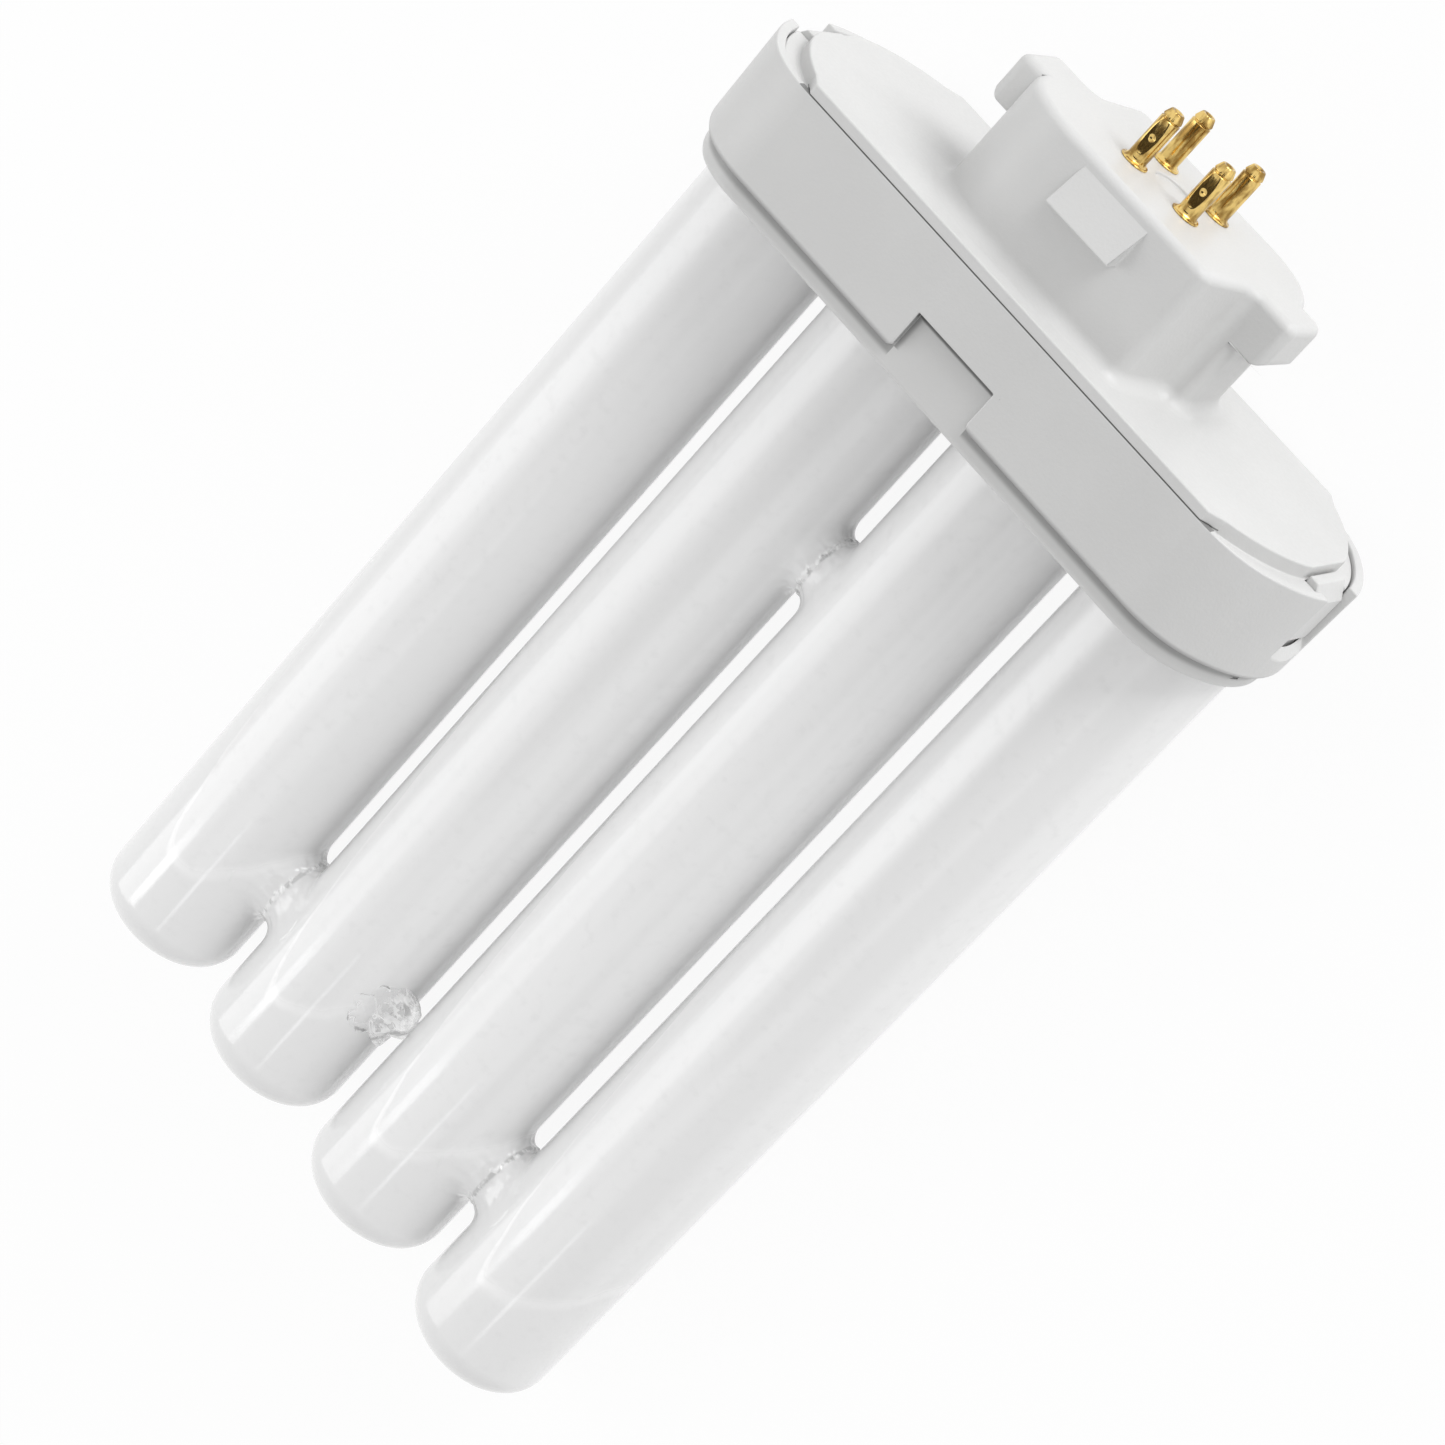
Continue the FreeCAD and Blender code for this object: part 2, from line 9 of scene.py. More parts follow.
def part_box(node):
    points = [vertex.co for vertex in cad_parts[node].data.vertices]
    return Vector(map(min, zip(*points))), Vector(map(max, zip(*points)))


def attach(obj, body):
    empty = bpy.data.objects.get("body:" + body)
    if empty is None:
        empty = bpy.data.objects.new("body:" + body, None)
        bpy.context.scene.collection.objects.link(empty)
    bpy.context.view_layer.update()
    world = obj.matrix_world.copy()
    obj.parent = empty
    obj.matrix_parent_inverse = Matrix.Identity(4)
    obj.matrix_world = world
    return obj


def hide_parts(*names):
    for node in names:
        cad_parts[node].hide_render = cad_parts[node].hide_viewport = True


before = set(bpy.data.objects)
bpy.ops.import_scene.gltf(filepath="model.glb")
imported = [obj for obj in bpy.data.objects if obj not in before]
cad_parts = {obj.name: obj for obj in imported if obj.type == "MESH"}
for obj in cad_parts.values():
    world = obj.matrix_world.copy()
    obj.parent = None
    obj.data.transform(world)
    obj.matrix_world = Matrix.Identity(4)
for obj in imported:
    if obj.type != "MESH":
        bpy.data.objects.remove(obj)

bl_info = {
    "name": "Four Pin Compact Fluorescent Lamp",
    "version": (1, 0, 0),
    "blender": (4, 5, 0),
    "location": "View3D > Sidebar > Lamp",
    "description": "Glass tubes, plastic cap, contact pins and clear glue of a four pin lamp",
    "category": "Object",
}

MM = 0.001
BODY = "root"
SAME_SPOT = 0.001 * MM  # vertices nearer than this are joined
WALL_SINK = 0.35 * MM  # how deep the end of a neck's skin sinks into its tube
# The coating's edge: how far left of a tube's middle it lies nearest to the closed end, as a
# share of the radius, and how fast it draws back to both sides of that and further to the left.
ARCH_SHIFT = 0.16
ARCH_RISE = 7 * MM
ARCH_LEFT_RISE = 90 * MM
NECK_STEPS = 168  # faces round a neck
SEAM_WIDTH = 0.3 * MM  # how far from its middle a neck's seam fades
SEAM_BEND = 0.55 * MM  # how far the seam wanders along the neck
NECK_RIPPLE = 0.12 * MM  # height of the soft lumps on a neck
STEM_SIZE = (6.4 * MM, 2.6 * MM)  # width and depth of the pressed seal of an outer tube
STEM_SINK = 1 * MM  # how deep the seal sinks into its tube
GLUE_FILM = 0.22 * MM  # thickness of the glue on a tube's skin
GLUE_BRIDGE = 2.4 * MM  # half the width of the milky glue between the tubes
FLANGE_RADIUS = 1.75 * MM  # of a pin's foot and its tail
DIMPLE_HEIGHT = 3.3 * MM  # of a pin's crimp dimple, above the pin face
FLAT_START = 1.3 * MM  # where a pin's pressed flat begins, above the pin face
FLAT_STOP = 1.25 * MM  # where it ends, below the pin's tip
CRIMP_HEIGHT = 1.0 * MM  # height of a pin's crimped crown
CRIMP_COUNT = 5
CRIMP_DEPTH = 0.09  # share of the pin's radius
# Where the lamp touches the floor: above the skirt's lower edge and in from its back, on the
# skirt's rounding, and past the rounding of the tube ends.
SKIRT_TOUCH = (0.8 * MM, 0.27 * MM)
ENDS_TOUCH = 5.2 * MM
FLOOR_WHITE = 0.92  # share of white in what the camera sees of the floor

GLASS_LOW, GLASS_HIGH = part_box("glass_tubes")
CAP_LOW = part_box("tube_holder")[0]
SKIRT_LOW, SKIRT_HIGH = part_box("skirt")
TUBE_RADIUS = GLASS_HIGH.z
TUBE_PITCH = (GLASS_HIGH.x - TUBE_RADIUS) / 1.5
TUBE_XS = [(i - 1.5) * TUBE_PITCH for i in range(4)]
PIN_NAMES = ["left_front", "left_back", "right_front", "right_back"]
CAP_NODES = ["skirt", "tube_holder", "pin_cover"]
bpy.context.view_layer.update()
MIDDLE = (0, -60 * MM, 0)
ENDS = (0, GLASS_LOW.y, 0)
# Name, place, target, width and depth of each light. The tube ends mirror the last two.
LIGHTS = [
    ("key", (0.30, 1.0, 0.20), MIDDLE, 0.65, 0.65),
    ("side", (0.90, 0.70, 0.35), MIDDLE, 0.5, 0.5),
    ("fill", (-0.52, -0.33, 0.38), MIDDLE, 0.5, 0.5),
    ("streak", (-0.46, -0.63, 0.66), ENDS, 0.21, 0.045),
    ("faint_streak", (0.32, -0.67, 0.79), ENDS, 0.07, 0.07),
]


class LampGlass(bpy.types.PropertyGroup):
    """Sizes and colours of the glass envelope and the glue on it."""
    tube_steps: IntProperty(
        name="Tube steps", description="Faces round a tube", default=112, min=24)
    stem_height: FloatProperty(
        name="Stem height", description="Height of the glass seal above a tube's inner end",
        default=1.4 * MM, unit="LENGTH")
    end_step: FloatProperty(
        name="End step", description="How much farther each tube reaches than the one before",
        default=1.2 * MM, unit="LENGTH")
    end_rounding: FloatProperty(
        name="End rounding", description="Radius of the edge of a tube's closed end",
        default=4.6 * MM, unit="LENGTH")
    end_swell: FloatProperty(
        name="End swell", description="How far the middle of a closed end stands out",
        default=0.55 * MM, unit="LENGTH")
    inner_rounding: FloatProperty(
        name="Inner rounding", description="Radius of the edge of a tube's end in the cap",
        default=3.5 * MM, unit="LENGTH")
    outer_neck_radius: FloatProperty(
        name="Outer neck radius", description="Radius of the two outer necks at their waist",
        default=4.9 * MM, unit="LENGTH")
    middle_neck_radius: FloatProperty(
        name="Middle neck radius", description="Radius of the middle neck at its waist",
        default=4.3 * MM, unit="LENGTH")
    neck_flare: FloatProperty(
        name="Neck flare", description="How much a neck widens where it meets a tube",
        default=2.7 * MM, unit="LENGTH")
    neck_far: FloatProperty(
        name="Outer neck distance", description="From the tube ends to the outer necks",
        default=18.8 * MM, unit="LENGTH")
    neck_near: FloatProperty(
        name="Middle neck distance", description="From the skirt's upper edge to the middle neck",
        default=40.8 * MM, unit="LENGTH")
    seam_height: FloatProperty(
        name="Seam height", description="Height of the weld seam round a neck",
        default=0.22 * MM, unit="LENGTH")
    edge_distance: FloatProperty(
        name="Coating edge", description="From a tube's end to the edge of its coating",
        default=13.5 * MM, unit="LENGTH")
    glue_spread: FloatVectorProperty(
        name="Glue spread", description="How far the glue reaches from its middle",
        default=(4.2 * MM, 3.9 * MM, 2.7 * MM), unit="LENGTH")
    glue_shift: FloatProperty(
        name="Glue shift", description="How far the glue's middle lies toward the second tube",
        default=2.4 * MM, unit="LENGTH")
    glue_height: FloatProperty(
        name="Glue height", description="Height of the glue's middle above the tubes' middle",
        default=3.6 * MM, unit="LENGTH")
    coating: FloatVectorProperty(
        name="Coating", description="Colour of the white coating behind the glass",
        default=(0.91, 0.91, 0.91), subtype="COLOR", min=0, max=1)
    end_tone: FloatVectorProperty(
        name="End tone", description="Colour where the glass was melted shut",
        default=(0.87, 0.87, 0.87), subtype="COLOR", min=0, max=1)
    glue: FloatVectorProperty(
        name="Glue", description="Tint of the clear glue",
        default=(0.98, 0.98, 0.98), subtype="COLOR", min=0, max=1)


class LampCap(bpy.types.PropertyGroup):
    """Sizes and colours of the plastic cap."""
    edge_rounding: FloatProperty(
        name="Edge rounding", description="Radius of the moulded edges",
        default=0.2 * MM, unit="LENGTH")
    notch_half_width: FloatProperty(
        name="Notch half width", description="Half the width of the notch in the skirt",
        default=5.9 * MM, unit="LENGTH")
    notch_depth: FloatProperty(
        name="Notch depth", description="How far the notch reaches up into the skirt",
        default=5.15 * MM, unit="LENGTH")
    parting_half: FloatProperty(
        name="Parting half length", description="Half the line between skirt and cover",
        default=32.4 * MM, unit="LENGTH")
    plastic: FloatVectorProperty(
        name="Plastic", description="Colour of the white plastic",
        default=(0.67, 0.67, 0.665), subtype="COLOR", min=0, max=1)
    cement: FloatVectorProperty(
        name="Cement", description="Colour of the cement inside the cap",
        default=(0.62, 0.60, 0.54), subtype="COLOR", min=0, max=1)
    wire: FloatVectorProperty(
        name="Wire", description="Colour of the bare leads inside the cap",
        default=(0.52, 0.52, 0.50), subtype="COLOR", min=0, max=1)


class LampPins(bpy.types.PropertyGroup):
    """Sizes and colours of the contact pins."""
    pin_steps: IntProperty(name="Pin steps", description="Faces round a pin", default=96, min=16)
    shank_radius: FloatProperty(
        name="Shank radius", description="Radius of a pin's shank",
        default=1.22 * MM, unit="LENGTH")
    dimple_radius: FloatProperty(
        name="Dimple radius", description="Radius of the crimp dimple",
        default=0.42 * MM, unit="LENGTH")
    dimple_depth: FloatProperty(
        name="Dimple depth", description="Depth of the crimp dimple",
        default=0.16 * MM, unit="LENGTH")
    flat_depth: FloatProperty(
        name="Flat depth", description="Depth of the pressed flat round the dimple",
        default=0.26 * MM, unit="LENGTH")
    brass: FloatVectorProperty(
        name="Brass", description="Colour of the bright brass",
        default=(0.84, 0.60, 0.21), subtype="COLOR", min=0, max=1)
    # colour of the dark blotches on the pins: partly tarnish, partly painted dark reflection
    tarnish_and_dark_reflection: FloatVectorProperty(
        name="Tarnish", description="Colour of the darker brass",
        default=(0.26, 0.14, 0.03), subtype="COLOR", min=0, max=1)


class LampStage(bpy.types.PropertyGroup):
    """Camera, floor, lights and dark card."""
    camera_place: FloatVectorProperty(
        name="Camera place", description="Where the camera stands",
        default=(0.12476, 0.11004, 0.42151), subtype="TRANSLATION", unit="LENGTH")
    camera_turn: FloatVectorProperty(
        name="Camera turn", description="How the camera is turned",
        default=(math.radians(-5.914), math.radians(27.4946), math.radians(44.625)),
        subtype="EULER")
    camera_lens: FloatProperty(
        name="Lens", description="Focal length in millimetres", default=106.656)
    floor_size: FloatProperty(
        name="Floor size", description="Length of the floor's sides", default=3.0, unit="LENGTH")
    floor_tone: FloatProperty(name="Floor tone", description="Grey of the floor", default=0.95)
    key_power: FloatProperty(
        name="Key power", description="Watts of the light above the pins", default=7.2)
    side_power: FloatProperty(
        name="Side power", description="Watts of the light from the right", default=0.3)
    fill_power: FloatProperty(
        name="Fill power", description="Watts of the light from the left", default=1.1)
    streak_power: FloatProperty(
        name="Streak power", description="Watts of the narrow light that the tube ends mirror",
        default=0.13)
    faint_streak_power: FloatProperty(
        name="Faint streak power", description="Watts of the small light for a second streak",
        default=0.052)
    world_strength: FloatProperty(
        name="World strength", description="Strength of the even light", default=0.66)
    card_place: FloatVectorProperty(
        name="Card place", description="Middle of the dark card behind the camera",
        default=(0.02, -0.06, 0.46), subtype="TRANSLATION", unit="LENGTH")
    card_size: FloatProperty(
        name="Card size", description="Radius of the dark card", default=0.27, unit="LENGTH")


def add_node(tree, kind, **values):
    """New node with its inputs set by name."""
    node = tree.nodes.new(kind)
    for name, value in values.items():
        node.inputs[name.replace("_", " ")].default_value = value
    return node


def new_group(name, inputs, outputs):
    """Empty shader node group with the given sockets, and its two end nodes."""
    group = bpy.data.node_groups.new(name, "ShaderNodeTree")
    for label, kind, default in inputs:
        socket = group.interface.new_socket(label, in_out="INPUT", socket_type=kind)
        if default is not None:
            socket.default_value = default
    for label, kind in outputs:
        group.interface.new_socket(label, in_out="OUTPUT", socket_type=kind)
    return group, group.nodes.new("NodeGroupInput"), group.nodes.new("NodeGroupOutput")


def fine_grain_group():
    """Fine uneven height, for moulded plastic, glass and metal."""
    group, start, end = new_group(
        "fine_grain",
        [("Vector", "NodeSocketVector", None), ("Scale", "NodeSocketFloat", 900.0),
         ("Detail", "NodeSocketFloat", 4.0)],
        [("Height", "NodeSocketFloat")])
    grain = group.nodes.new("ShaderNodeTexNoise")
    group.links.new(start.outputs["Vector"], grain.inputs["Vector"])
    group.links.new(start.outputs["Scale"], grain.inputs["Scale"])
    group.links.new(start.outputs["Detail"], grain.inputs["Detail"])
    group.links.new(grain.outputs["Fac"], end.inputs["Height"])
    return group


def specks_group():
    """Sparse tiny dark specks: 1 inside a speck and 0 outside."""
    group, start, end = new_group(
        "specks",
        [("Vector", "NodeSocketVector", None), ("Scale", "NodeSocketFloat", 120.0),
         ("Size", "NodeSocketFloat", 0.02), ("Share", "NodeSocketFloat", 0.06)],
        [("Mask", "NodeSocketFloat")])
    cells = group.nodes.new("ShaderNodeTexVoronoi")
    group.links.new(start.outputs["Vector"], cells.inputs["Vector"])
    group.links.new(start.outputs["Scale"], cells.inputs["Scale"])
    near = group.nodes.new("ShaderNodeMath")
    near.operation = "LESS_THAN"
    group.links.new(cells.outputs["Distance"], near.inputs[0])
    group.links.new(start.outputs["Size"], near.inputs[1])
    split = group.nodes.new("ShaderNodeSeparateColor")
    group.links.new(cells.outputs["Color"], split.inputs["Color"])
    chosen = group.nodes.new("ShaderNodeMath")
    chosen.operation = "LESS_THAN"
    group.links.new(split.outputs["Red"], chosen.inputs[0])
    group.links.new(start.outputs["Share"], chosen.inputs[1])
    both = group.nodes.new("ShaderNodeMath")
    both.operation = "MULTIPLY"
    group.links.new(near.outputs[0], both.inputs[0])
    group.links.new(chosen.outputs[0], both.inputs[1])
    group.links.new(both.outputs[0], end.inputs["Mask"])
    return group


def shared(name, build):
    """The node group of that name, built on first use."""
    return bpy.data.node_groups.get(name) or build()


def place_group(tree, group, vector, **values):
    """A group node fed with coordinates and its own values."""
    node = tree.nodes.new("ShaderNodeGroup")
    node.node_tree = group
    tree.links.new(vector, node.inputs["Vector"])
    for name, value in values.items():
        node.inputs[name].default_value = value
    return node


def new_material(name, **values):
    """Material with a Principled BSDF whose sockets hold the given constants."""
    material = bpy.data.materials.new(name)
    material.use_nodes = True
    shader = material.node_tree.nodes["Principled BSDF"]
    for key, value in values.items():
        shader.inputs[key.replace("_", " ")].default_value = value
    return material, material.node_tree, shader


def object_vector(tree, stretch=(1, 1, 1)):
    """Object coordinates, stretched along the axes."""
    coordinates = tree.nodes.new("ShaderNodeTexCoord")
    mapping = tree.nodes.new("ShaderNodeMapping")
    mapping.inputs["Scale"].default_value = stretch
    tree.links.new(coordinates.outputs["Object"], mapping.inputs["Vector"])
    return mapping.outputs["Vector"]


def mix_colour(tree, factor, first, second):
    """Colour between two colours or sockets."""
    node = tree.nodes.new("ShaderNodeMix")
    node.data_type = "RGBA"
    tree.links.new(factor, node.inputs["Factor"])
    for index, colour in ((6, first), (7, second)):  # the two sockets that hold colours
        if isinstance(colour, bpy.types.NodeSocket):
            tree.links.new(colour, node.inputs[index])
        else:
            node.inputs[index].default_value = (*colour, 1)
    return node.outputs[2]


def ramp_value(tree, source, low, high, to_low=0.0, to_high=1.0):
    """Value mapped smoothly from one span to another."""
    node = tree.nodes.new("ShaderNodeMapRange")
    node.interpolation_type = "SMOOTHSTEP"
    tree.links.new(source, node.inputs["Value"])
    node.inputs["From Min"].default_value = low
    node.inputs["From Max"].default_value = high
    node.inputs["To Min"].default_value = to_low
    node.inputs["To Max"].default_value = to_high
    return node.outputs["Result"]


def calc(tree, operation, *values):
    """Result of a math operation on sockets or numbers."""
    node = tree.nodes.new("ShaderNodeMath")
    node.operation = operation
    for socket, value in zip(node.inputs, values):
        if isinstance(value, bpy.types.NodeSocket):
            tree.links.new(value, socket)
        else:
            socket.default_value = value
    return node.outputs[0]


def away_from(tree, value, middle):
    """How far a value is from a middle, either way."""
    return calc(tree, "ABSOLUTE", calc(tree, "SUBTRACT", value, middle))


def product(tree, *values):
    """The values multiplied with each other, from left to right."""
    result = values[0]
    for value in values[1:]:
        result = calc(tree, "MULTIPLY", result, value)
    return result


def largest(tree, *values):
    """The largest of the values."""
    result = values[0]
    for value in values[1:]:
        result = calc(tree, "MAXIMUM", result, value)
    return result


def split_vector(tree, vector):
    """The three parts of a vector, as sockets by name."""
    split = tree.nodes.new("ShaderNodeSeparateXYZ")
    tree.links.new(vector, split.inputs["Vector"])
    return split.outputs


def noise_value(tree, vector, scale, detail):
    """Soft noise about 0.5."""
    texture = add_node(tree, "ShaderNodeTexNoise", Scale=scale, Detail=detail)
    tree.links.new(vector, texture.inputs["Vector"])
    return texture.outputs["Fac"]


def grain_value(tree, vector, scale, detail):
    """Fine uneven height about 0.5."""
    group = shared("fine_grain", fine_grain_group)
    return place_group(tree, group, vector, Scale=scale, Detail=detail).outputs["Height"]


def speck_mask(tree, vector, scale, size, share):
    """1 inside sparse tiny specks and 0 outside."""
    group = shared("specks", specks_group)
    return place_group(tree, group, vector, Scale=scale, Size=size, Share=share).outputs["Mask"]


def add_bump(tree, shader, height, strength, distance):
    """Bump from a height on the shader's normal."""
    bump = tree.nodes.new("ShaderNodeBump")
    bump.inputs["Strength"].default_value = strength
    bump.inputs["Distance"].default_value = distance
    tree.links.new(height, bump.inputs["Height"])
    tree.links.new(bump.outputs["Normal"], shader.inputs["Normal"])


def darker(colour, share):
    """The colour with its values multiplied by a share."""
    return tuple(v * share for v in colour)


def tube_places(tree, sizes, vector):
    """Place across the nearest tube, from -1 to 1, and distance from its closed end."""
    parts = split_vector(tree, vector)
    count = calc(tree, "MULTIPLY_ADD", parts["X"], 1 / TUBE_PITCH, 2.0)
    part = calc(tree, "SUBTRACT", calc(tree, "FRACT", count), 0.5)
    across = calc(tree, "MULTIPLY", part, TUBE_PITCH / TUBE_RADIUS)
    level = calc(tree, "SUBTRACT", parts["Y"], GLASS_LOW.y + 3 * sizes.end_step)
    along = calc(tree, "MULTIPLY_ADD", calc(tree, "FLOOR", count), sizes.end_step, level)
    return across, along


def coating_edge(tree, sizes, vector, across, along):
    """How far a spot lies past the coating's edge, and a mask of the pale rim along it."""
    wander = 5 * MM
    side = calc(tree, "ADD", across, ARCH_SHIFT)
    left = calc(tree, "MINIMUM", side, 0.0)
    arch = calc(tree, "MULTIPLY", product(tree, side, side), ARCH_RISE)
    arch = calc(tree, "MULTIPLY_ADD", product(tree, left, left), ARCH_LEFT_RISE, arch)
    edge = calc(tree, "SUBTRACT", calc(tree, "SUBTRACT", along, sizes.edge_distance), arch)
    edge = calc(tree, "MULTIPLY_ADD", noise_value(tree, vector, 140.0, 3.0), wander, edge)
    rim = ramp_value(tree, away_from(tree, edge, wander / 2), 0.1 * MM, 1.7 * MM, 1, 0)
    ends = ramp_value(tree, along, 16 * MM, 46 * MM, 1, 0)
    return edge, product(tree, rim, ends, ramp_value(tree, side, -0.2, 0.5, 1, 0.4))


def coated_glass_material(sizes):
    """Glossy glass with a white coating behind it, whose edge arches round each closed end; painted
    glints and shade mark the weld seams, and a ring of painted shade lies below the cap.
    """
    material, tree, shader = new_material(
        "coated_glass", IOR=1.5, Coat_Weight=0.5, Coat_Roughness=0.08)
    vector = object_vector(tree)
    across, along = tube_places(tree, sizes, vector)
    edge, rim = coating_edge(tree, sizes, vector, across, along)
    inside = ramp_value(tree, edge, 0.5 * MM, 4.5 * MM)
    bands = noise_value(tree, object_vector(tree, (230, 5, 230)), 1.0, 2.0)
    coat = mix_colour(
        tree, ramp_value(tree, bands, 0.35, 0.68, 0, 0.9),
        sizes.coating, darker(sizes.coating, 0.93))
    tone = mix_colour(tree, inside, sizes.end_tone, coat)
    tone = mix_colour(tree, rim, tone, (1.0, 1.0, 1.0))
    mottle = ramp_value(tree, noise_value(tree, vector, 650.0, 4.0), 0.5, 0.8, 0, 0.4)
    tone = mix_colour(tree, mottle, tone, darker(sizes.coating, 0.88))
    dots = speck_mask(tree, vector, 55.0, 0.012, 0.10)
    tone = mix_colour(tree, dots, tone, darker(sizes.coating, 0.45))
    # painted glints and shade: pale and grey strokes along each neck's weld seam
    seam_glint_mask = ramp_value(tree, noise_value(tree, vector, 900.0, 4.0), 0.42, 0.56)
    seam_glints_and_shade = mix_colour(tree, seam_glint_mask, (0.60, 0.60, 0.60), (0.98, 0.98, 0.98))
    to_seam = calc(
        tree, "SUBTRACT", 0.5 * TUBE_PITCH / TUBE_RADIUS, calc(tree, "ABSOLUTE", across))
    tone = mix_colour(tree, ramp_value(tree, to_seam, 0.015, 0.05, 0.9, 0), tone, seam_glints_and_shade)
    # painted shade: a dark ring on the tubes just below the cap's lower edge, where the holder
    # meets them
    below_cap = calc(tree, "SUBTRACT", CAP_LOW.y, split_vector(tree, vector)["Y"])
    ring = ramp_value(tree, below_cap, 0.05 * MM, 0.4 * MM, 0.6, 0)
    tone = mix_colour(tree, ring, tone, darker(sizes.coating, 0.4))
    tree.links.new(tone, shader.inputs["Base Color"])
    tree.links.new(ramp_value(tree, inside, 0, 1, 0.16, 0.3), shader.inputs["Roughness"])
    add_bump(tree, shader, grain_value(tree, vector, 420.0, 3.0), 0.10, 0.05 * MM)
    return material


def joint_shade(tree, sizes, vector):
    """1 on the dark joint line between skirt and cover and where shade is painted: under the
    notch's top edge, along the skirt's lower edge and on and beside the notch's left wall; 0
    elsewhere.
    """
    parts = split_vector(tree, vector)
    across, level = parts["X"], parts["Y"]
    middle = calc(tree, "ABSOLUTE", across)
    parting = ramp_value(tree, away_from(tree, level, SKIRT_HIGH.y), 0.04 * MM, 0.13 * MM, 0.8, 0)
    line = product(tree, parting, calc(tree, "LESS_THAN", middle, sizes.parting_half))
    in_notch = calc(tree, "LESS_THAN", middle, sizes.notch_half_width + 0.02 * MM)
    beside = calc(tree, "SUBTRACT", 1.0, in_notch)
    edge = calc(tree, "MULTIPLY_ADD", in_notch, sizes.notch_depth, SKIRT_LOW.y)
    below = calc(tree, "SUBTRACT", edge, level)
    # painted shade under the notch's top edge
    slit = product(
        tree, ramp_value(tree, below, -0.05 * MM, -0.01 * MM),
        ramp_value(tree, below, 0.5 * MM, 0.8 * MM, 0.85, 0), in_notch)
    # painted shade along the skirt's lower edge, beside the notch
    near_edge = away_from(tree, below, 0.2 * MM)
    lower = product(tree, ramp_value(tree, near_edge, 0.3 * MM, 1.0 * MM, 0.5, 0), beside)
    # painted shade on and beside the notch's left wall
    inward = calc(tree, "ADD", across, sizes.notch_half_width)
    wall = product(
        tree, ramp_value(tree, inward, -0.04 * MM, -0.01 * MM),
        ramp_value(tree, inward, 0.1 * MM, 0.8 * MM, 0.55, 0),
        calc(tree, "GREATER_THAN", below, -0.02 * MM),
        calc(tree, "GREATER_THAN", level, SKIRT_LOW.y + 0.3 * MM))
    return largest(tree, line, slit, lower, wall)


def plastic_material(sizes):
    """Satin white moulded plastic with a fine grain, a few specks, a dark joint line and painted
    shade under its edges and in its notch.
    """
    material, tree, shader = new_material("white_plastic", Roughness=0.42, IOR=1.5)
    vector = object_vector(tree)
    cloud = ramp_value(tree, noise_value(tree, vector, 70.0, 3.0), 0.3, 0.7)
    tone = mix_colour(tree, cloud, sizes.plastic, darker(sizes.plastic, 0.965))
    dots = speck_mask(tree, vector, 150.0, 0.018, 0.06)
    tone = mix_colour(tree, dots, tone, darker(sizes.plastic, 0.6))
    # the dark joint line and the painted shade darken the plastic
    tone = mix_colour(tree, joint_shade(tree, sizes, vector), tone, darker(sizes.plastic, 0.14))
    tree.links.new(tone, shader.inputs["Base Color"])
    grain = grain_value(tree, vector, 2600.0, 5.0)
    tree.links.new(ramp_value(tree, grain, 0.3, 0.7, 0.36, 0.5), shader.inputs["Roughness"])
    add_bump(tree, shader, grain, 0.5, 0.05 * MM)
    return material


def brass_material(sizes):
    """Polished brass with drawing lines along the pin, small dents, and dark blotches that are
    partly tarnish and partly painted dark reflection.
    """
    material, tree, shader = new_material("pin_brass", Metallic=1.0)
    blotches = noise_value(tree, object_vector(tree, (1, 0.35, 1)), 1100.0, 4.0)
    # dark blotches: partly tarnish, partly painted dark reflection
    mask = ramp_value(tree, blotches, 0.42, 0.62, 0, 0.85)
    tree.links.new(mix_colour(tree, mask, sizes.brass, sizes.tarnish_and_dark_reflection), shader.inputs["Base Color"])
    tree.links.new(ramp_value(tree, blotches, 0.3, 0.7, 0.08, 0.26), shader.inputs["Roughness"])
    lines = grain_value(tree, object_vector(tree, (1, 0.08, 1)), 8000.0, 3.0)
    add_bump(tree, shader, calc(tree, "MULTIPLY_ADD", blotches, 2.0, lines), 0.5, 0.02 * MM)
    return material


def vertex_value(tree, name):
    """Value stored on the vertices under that name."""
    node = tree.nodes.new("ShaderNodeAttribute")
    node.attribute_name = name
    return node.outputs["Fac"]


